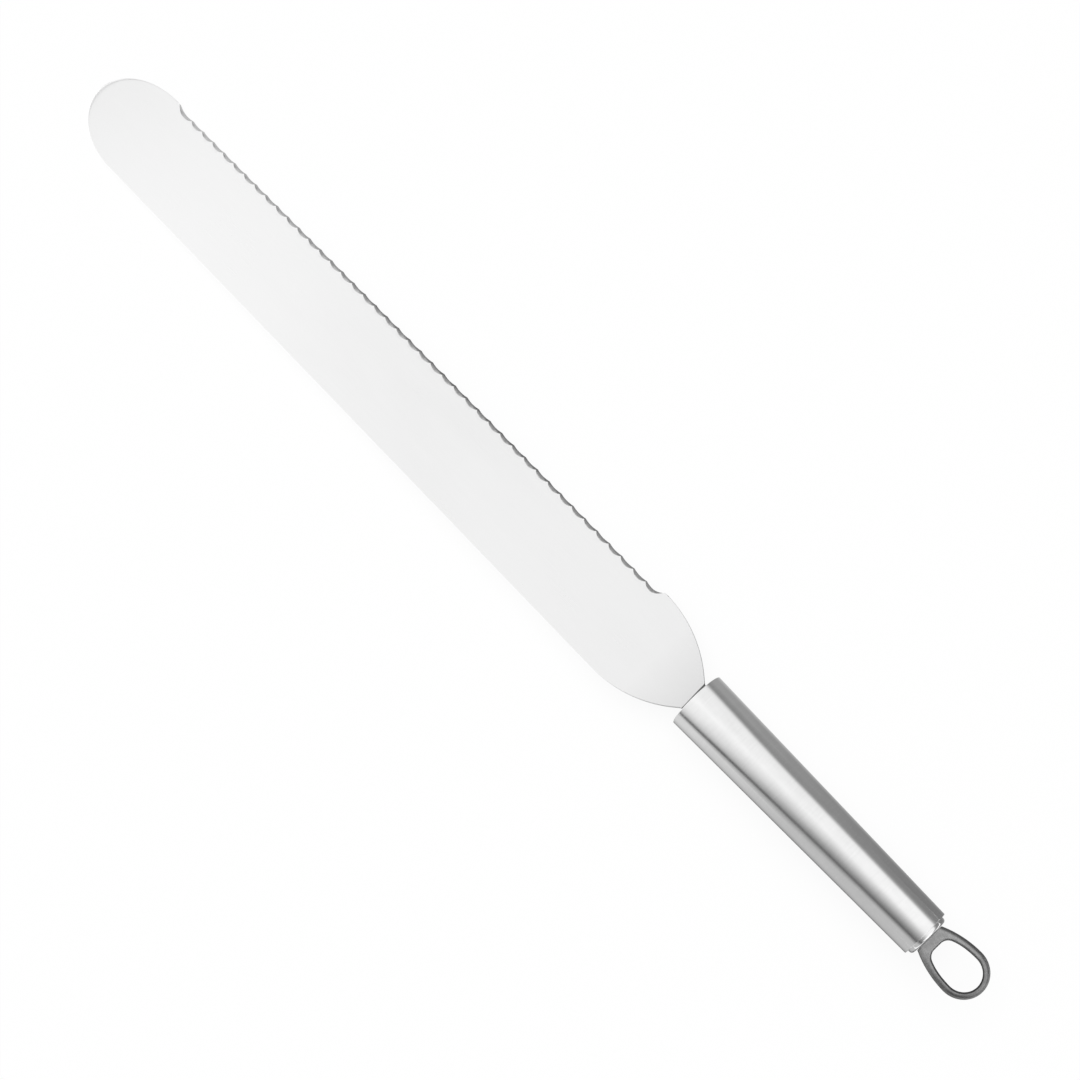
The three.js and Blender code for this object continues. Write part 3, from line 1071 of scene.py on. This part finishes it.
beside_blade_starts = (-0.1625, -0.2875)    # where the brightness beside the blade takes over
blade_card_reach = 3            # how far its brightness changes beside the scalloped edge
far_card_tone = 0.32            # of the card far out from the scalloped edge
near_spine = (2.5, 1.5)         # where the card is white beside the spine, in card reaches from the axis
white_before_tip = (-3.125, -3.375)         # where the card turns white
white_behind_loop = (1.3, 1.4667)

# The card's brightness out from the knife's axis, in card reaches, as a share of its tone
# Its low values near the axis are a painted shadow of the knife on the card, which the metal mirrors.
spine_card_light = ((0, 0.1), (0.2, 0.2), (0.3, 0.35), (0.4, 0.6), (0.5, 0.8), (0.7, 0.95), (1, 1))
edge_card_light = ((0, 0.2), (0.2, 1), (0.3, 1.7), (0.45, 1.25), (0.65, 1), (1, 1))

# And beside the scalloped edge, as shares of the way from the handle to blade_card_reach
scallop_card_light = (
    (0, 0.3), (0.15, 0.25), (0.28, 0.16), (0.45, 0.11), (0.6, 0.19), (0.68, 0.32), (0.76, 0.43), (0.9, 0.55),
    (1, 0.55),
)


def spine_card(along, out, beside_blade):
    """The card's light on the spine's side: grey beside the handle and white beside the blade."""
    tone = along.way(*spine_card_fades) * -spine_card_loss + spine_card_tone
    return (tone * ramp(out, spine_card_light)).mix(white_light, beside_blade * out.way(*near_spine))


def edge_card(along, out, y, beside_blade):
    """The card's light on the scalloped side: grey beside the handle and dark beside the scallops."""
    tone = along.way(*edge_card_fades) * -edge_card_loss + edge_card_tone
    far_out = y.way(2 * half_width, 4 * half_width)
    beside_scallops = ramp(-along / blade_card_reach, scallop_card_light).mix(far_card_tone, far_out)
    return (tone * ramp(out, edge_card_light)).mix(beside_scallops, beside_blade)


def build_table_card():
    """A sheet of card on the table, which is white past the knife's tip and loop."""
    reach = card_half_side
    corners = [(-reach, -reach, 0), (reach, -reach, 0), (reach, reach, 0), (-reach, reach, 0)]
    card = mesh_object("table_card", corners, [(0, 1, 2, 3)])
    card.location.z = card_lift
    material, strength, (x, y, _) = glowing("grey card")
    along = (x - to_world.translation.x) / handle_length
    out = y.absolute() / card_reach
    beside_blade = along.way(*beside_blade_starts)
    spine_side = spine_card(along, out, beside_blade)
    light = spine_side.mix(edge_card(along, out, y, beside_blade), y.way(*sides_meet))
    past_ends = along.way(*white_before_tip).math("MAXIMUM", along.way(*white_behind_loop))
    light_up(card, material, strength, light.mix(white_light, past_ends))


# Camera, as the photograph was taken

def build_camera():
    picture_side = 1080
    focal_pixels = 1816
    height = 544.65 * mm
    place_along = 74.49 * mm
    lean = 0.2585
    roll = 0.7964
    camera = bpy.data.cameras.new("camera")
    camera.sensor_width = 36
    camera.lens = camera.sensor_width * focal_pixels / picture_side
    holder = bpy.data.objects.new("camera", camera)
    turn = Matrix.Rotation(lean, 4, "Y") @ Matrix.Rotation(roll, 4, "Z")
    holder.matrix_world = to_world @ Matrix.Translation((place_along, 0, height)) @ turn
    bpy.context.scene.collection.objects.link(holder)
    bpy.context.scene.camera = holder


bpy.context.scene.view_settings.view_transform = "Standard"
build_camera()
build_knife()
build_table()
build_table_card()
build_tent()
build_world()
build_lamp()
